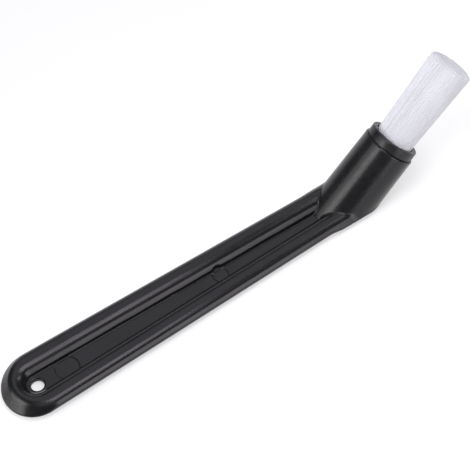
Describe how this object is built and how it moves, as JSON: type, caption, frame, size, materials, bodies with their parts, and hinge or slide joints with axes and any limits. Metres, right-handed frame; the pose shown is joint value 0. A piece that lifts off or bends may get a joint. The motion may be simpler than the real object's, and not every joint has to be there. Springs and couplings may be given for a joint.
{
  "type": "coffee machine cleaning brush",
  "caption": "Hand brush with a black channelled handle, a hanging hole and an angled round socket that holds a plug-in tuft of white nylon bristles.",
  "frame": {"origin": "on the flat back, in the middle of its width, where the axis of the brush head crosses it", "axes": "+X along the handle from the tail towards the head, +Y across the handle, +Z out of the channelled face, away from the back"},
  "size_m": [0.1819, 0.0228, 0.0479],
  "materials": {
    "handle_plastic": "satin-gloss black injection moulding",
    "holder_plastic": "satin black moulding with fine turning marks",
    "resin": "cured clear amber adhesive",
    "nylon": "cool white nylon filament, cut square"
  },
  "bodies": {
    "handle": {"handle": "handle_plastic"},
    "brush_head": {"bristle_holder": "holder_plastic", "potting_resin": "resin", "bristle_tuft": "nylon"}
  },
  "joints": [
    {"name": "head_pull_out", "type": "slide", "parent": "handle", "child": "brush_head", "axis": [0.7071, 0, 0.7071], "range_m": [0, 0.02]}
  ]
}
